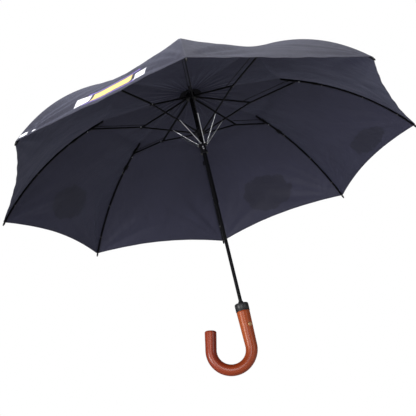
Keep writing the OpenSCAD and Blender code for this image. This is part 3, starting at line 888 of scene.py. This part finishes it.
def build_crook():
    """The bent wooden handle, bored for the button, and the metal ring round the bore."""
    crook = piece("crook", crook_mesh(), "handle", wood, ["crook_handle"])
    well = bpy.data.objects.new("well", lathe("well", [(WELL_R, WELL_FLOOR), (WELL_R, WELL_TOP)], 48))
    bpy.context.scene.collection.objects.link(well)
    well.data.transform(button_frame())
    modified(crook, "BOOLEAN", operation="DIFFERENCE", solver="EXACT", object=well)
    bpy.data.objects.remove(well)
    crook.data.shade_smooth()
    profile = [
        (WELL_R, RING_LOW), (WELL_R + RING_WALL, RING_LOW), (WELL_R + RING_WALL, RING_TOP - 0.0003),
        (WELL_R + RING_WALL / 2, RING_TOP), (WELL_R, RING_TOP - 0.0001),
    ]
    edge_ring = placed(lathe("button_ring", profile, 48), button_frame())
    piece("button_ring", edge_ring, "handle", brass)


def button_frame():
    """The frame whose +Z runs out of the handle along the button's axis."""
    return (Matrix.Translation((0, 0, BUTTON_Z)) @ Matrix.Rotation(BUTTON_TURN, 4, "Z")
            @ Matrix.Rotation(math.pi / 2, 4, "Y"))


def build_collar():
    """The black cup over the top of the wood, with a rolled lip, a groove and a small neck."""
    r, h = collar_r, collar_h
    profile = [
        (0.0108, -h), (r - 0.0006, -h), (r - 0.0001, -h + 0.0005), (r, -h + 0.0012), (r, -h + 0.0026),
        (r - 0.0004, -h + 0.003), (r - 0.0004, -h + 0.0034), (r, -h + 0.0038), (r, -0.0022),
        (r - 0.0004, -0.0009), (r - 0.0012, -0.0002), (r - 0.0024, 0.0), (0.0072, 0.0),
        (0.0064, 0.0008), (0.0061, 0.0018), (0.0054, 0.0050), (0.0050, 0.0058), (0.0045, 0.006),
    ]
    mesh = lathe("collar", profile, 96)
    piece("collar", mesh, "handle", collar_plastic, ["handle_collar"])


# ---------- small parts ----------

# where the ties and patches stand, as along_rib's u
TIE_PLACES = (2.22, 2.55, 2.85)
PATCH_PLACES = (1.75, 2.16)
RIB_DROP = 0.0019
TIE_HALF_WIDTH = 0.0016
TIE_HALF_HEIGHT = 0.0017
TIE_THICK = 0.0004
TIE_LENGTH = 0.0016
PATCH_HALF_LONG = 0.007
PATCH_HALF_WIDE = 0.0065
PATCH_ROWS = 7
PATCH_COLUMNS = 9
PATCH_THICK = 0.0003
PATCH_DROP = 0.0002
PATCH_DROOP = 0.16
# metres along the rib from its knuckle
RIVET_PLACES = (-0.012, 0.012)
RIVET_FACE = 0.00105
ELBOW_FACE = 0.0057
ROSETTE_R = 0.027
ROSETTE_RINGS = 12
PETALS = 24
ROSETTE_TOP = 0.0024
ROSETTE_FALL = 0.0024
ROSETTE_THICK = 0.0004
PETAL_WAVE = 0.0004
PETAL_SHARE = 0.03
SCREW_FACE = 0.0073
# each screw's height from the struts' feet, and its turn round the shaft in degrees
SCREWS = ((-0.0085, -92), (-0.0135, -84))
COIL_STEPS = 24
WIRE_SIDES = 8


def rib_frame(u, drop):
    """A frame over spoke 1 at u, with +X along the rib and +Z outward, drop below the cloth."""
    line, slope = along_rib(np.array(float(u)), np.array(corner_slope))
    place = line - drop * outward(slope)
    return Matrix.Translation((place[0], 0, place[1])) @ Matrix.Rotation(float(slope), 4, "Y")


def thread_tie(u):
    """A soft rectangular band round the rib at u."""
    half, grown = TIE_LENGTH / 2, TIE_THICK
    rings = []
    for x, grow in ((-half, 0.0), (-half, grown), (half, grown), (half, 0.0)):
        ring = []
        for a in turns_round(24):
            c, s = math.cos(a), math.sin(a)
            ring.append((x, math.copysign(abs(c) ** 0.4, c) * (TIE_HALF_WIDTH + grow),
                         math.copysign(abs(s) ** 0.4, s) * (TIE_HALF_HEIGHT + grow)))
        rings.append(ring)
    return placed(ring_mesh("tie", rings, closed_rings=True), rib_frame(u, RIB_DROP))


def rib_patch(u):
    """A small square of cloth lying under the canopy, over the rib at u."""
    _, slope = along_rib(np.array(float(u)), np.array(corner_slope))
    along = PATCH_HALF_LONG * np.linspace(-1, 1, PATCH_ROWS)[:, None]
    y = PATCH_HALF_WIDE * np.linspace(-1, 1, PATCH_COLUMNS)[None, :]
    fall = np.maximum(0, abs(y) - SEAM_STRIP) * (math.tan(SPOKE_ANGLE / 2) * math.sin(slope) + PATCH_DROOP)
    bow = along * along / 2 / arc_r if u > 2 else 0
    top = np.stack(np.broadcast_arrays(along, y, -fall - bow), -1)
    low = top - np.array([0, 0, PATCH_THICK])
    faces, _ = sheet_faces(PATCH_ROWS, PATCH_COLUMNS)
    mesh = bpy.data.meshes.new("patch")
    mesh.from_pydata(np.concatenate([low.reshape(-1, 3), top.reshape(-1, 3)]).tolist(), [], faces)
    mesh.shade_smooth()
    return placed(mesh, rib_frame(u, PATCH_DROP))


def knuckle_rivet(along):
    """A rivet head under the knuckle, along the rib from its pin."""
    lift = Matrix.Translation((knuckle.x, 0, knuckle.z)) @ Matrix.Rotation(arm_slope, 4, "Y")
    under = Matrix.Translation((along, 0, RIVET_FACE)) @ Matrix.Rotation(math.pi, 4, "X")
    return placed(dome("head", 0.0013, 0.0009), lift @ under)


def build_rib_details():
    """Thread ties, reinforcing patches and bright rivet heads on each spoke. Returns the ties and patches."""
    sewn = {}
    for i in spokes():
        turn = spoke_turn(i)
        rib = f"outer_rib_{i}"
        ties = placed(joined(f"thread_ties_{i}", [thread_tie(u) for u in TIE_PLACES]), turn)
        patches = placed(joined(f"rib_patches_{i}", [rib_patch(u) for u in PATCH_PLACES]), turn)
        sewn[i] = [piece(f"thread_ties_{i}", ties, rib, thread),
                   piece(f"rib_patches_{i}", patches, rib, patch_cloth)]
        heads = placed(joined(f"rib_rivets_{i}", [knuckle_rivet(along) for along in RIVET_PLACES]), turn)
        piece(f"rib_rivets_{i}", heads, rib, nickel)
        cap = Matrix.Translation((elbow.x, ELBOW_FACE, elbow.z)) @ Matrix.Rotation(-math.pi / 2, 4, "X")
        head = placed(placed(dome("elbow_rivet", 0.0014, 0.0008), cap), turn)
        piece(f"elbow_rivet_{i}", head, f"top_rib_{i}", nickel)
    return sewn


def build_rosette():
    """The gathered black cloth disc under the crown."""
    rings = []
    for r in np.linspace(upper_r + 0.0004, ROSETTE_R, ROSETTE_RINGS):
        share = (r - upper_r) / (ROSETTE_R - upper_r)
        ring = []
        for a in turns_round(PETALS * 8):
            wave = PETAL_WAVE * share * math.cos(PETALS * a)
            edge = r * (1 + PETAL_SHARE * share * math.cos(SPOKES * a))
            z = crown_z - ROSETTE_TOP - ROSETTE_FALL * share + wave
            ring.append((edge * math.cos(a), edge * math.sin(a), z))
        rings.append(ring)
    under = [[(x, y, z - ROSETTE_THICK) for x, y, z in ring] for ring in rings]
    mesh = ring_mesh("crown_rosette", rings + under[::-1], closed_rings=True)
    rosette = piece("crown_rosette", mesh, "upper_shaft", patch_cloth)


def build_runner_details():
    """Screws on the lower runner."""
    for number, (z, turn) in enumerate(SCREWS, 1):
        place = Matrix.Translation((SCREW_FACE, 0, lower_pivot_z + z))
        face = Matrix.Rotation(math.radians(turn), 4, "Z") @ place
        head = placed(dome("screw", 0.0018, 0.0009), face @ Matrix.Rotation(math.pi / 2, 4, "Y"))
        piece(f"runner_screw_{number}", head, "lower_runner", nickel)


def coil(name, coil_r, wire_r, low, high, turns):
    """A spring standing on +Z with a closed turn at each end."""
    end_pitch = 2.04 * wire_r
    pitch = (high - low - 2 * wire_r - 2 * end_pitch) / (turns - 2)
    rings = []
    for k in range(COIL_STEPS * turns + 1):
        turn = k / COIL_STEPS
        a = 2 * math.pi * turn
        end_turns = min(turn, 1) + max(turn - turns + 1, 0)
        centre_z = low + wire_r + end_pitch * end_turns + pitch * min(max(turn - 1, 0), turns - 2)
        ring = []
        for b in turns_round(WIRE_SIDES):
            r = coil_r + wire_r * math.cos(b)
            ring.append((r * math.cos(a), r * math.sin(a), centre_z + wire_r * math.sin(b)))
        rings.append(ring)
    return ring_mesh(name, rings)


def build_springs():
    """The main spring in the upper tube and the button's spring."""
    low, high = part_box("main_spring")[0].z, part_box("main_spring")[1].z
    main = piece("main_spring_coil", coil("main_spring_coil", 0.0031, 0.0005, low, high, 18), "handle",
                 nickel, ["main_spring"])
    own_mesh(main)
    small = placed(coil("button_coil", 0.0026, 0.0003, BUTTON_SEAT, BUTTON_FOOT, 3), button_frame())
    small = piece("button_coil", small, "handle", nickel, ["button_spring"])
    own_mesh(small)


def repaint(names, material):
    """Gives carried-over CAD nodes their material."""
    for name in names:
        node = frame["nodes"][name]
        if not node.material_slots:
            node.data.materials.append(material)
        for entry in node.material_slots:
            entry.material = material


def repaint_frame():
    """Materials for the CAD nodes that stay visible."""
    repaint(["upper_tube", "lower_tube"], tube_enamel)
    repaint(["crown_notch", "ferrule", "runner", "lower_runner"], hub_plastic)
    repaint(["release_button"], brass)
    for i in spokes():
        repaint([f"top_rib_{i}", f"stretcher_{i}", f"outer_rib_{i}", f"tie_rod_{i}"], black_enamel)
        repaint([f"strut_{i}"], nickel)


make_camera()
make_surroundings()
make_soft_boxes()
make_floor()
build_crook()
build_collar()
rib_details = build_rib_details()
build_outer_cloth()
build_centre_cloth()
build_rosette()
build_runner_details()
build_springs()
repaint_frame()
